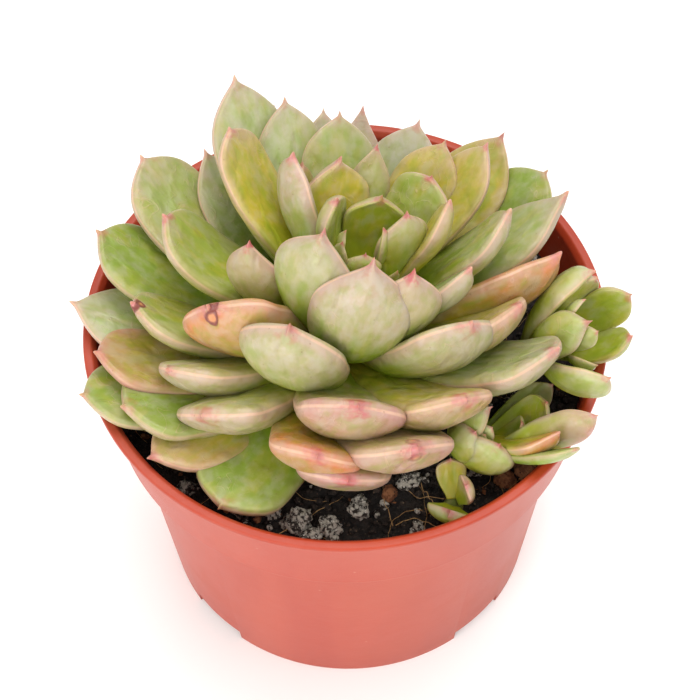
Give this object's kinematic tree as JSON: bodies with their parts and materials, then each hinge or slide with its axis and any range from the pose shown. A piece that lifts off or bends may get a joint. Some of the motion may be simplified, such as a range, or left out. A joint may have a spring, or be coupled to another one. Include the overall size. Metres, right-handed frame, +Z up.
{
  "type": "potted succulent",
  "caption": "Rosette succulent with pointed fleshy leaves and small offsets, growing in dark soil in a round tapered nursery pot with a collar and a raised foot.",
  "frame": {"origin": "middle of the plan's bounding box, on the surface that the pot stands on; the pot's axis lies 0.9 mm to its -X side", "axes": "+Z up along the pot's axis, -Y towards the picture's camera, +X to the picture's right"},
  "size_m": [0.137, 0.13, 0.1411],
  "materials": {
    "pot": "matt moulded terracotta-coloured plastic",
    "soil": "damp dark peat with pumice lumps",
    "rosette_main": "waxy grey-green leaves with pale margins and rosy tips",
    "offset_right": "waxy green leaves with pale margins and rosy tips",
    "offset_front": "waxy green leaves with pale margins and rosy tips",
    "shoot_front": "waxy yellow-green leaves with pale margins"
  },
  "bodies": {
    "root": {"pot": "pot", "soil": "soil", "rosette_main": "rosette_main", "offset_right": "offset_right", "offset_front": "offset_front", "shoot_front": "shoot_front"}
  },
  "joints": []
}
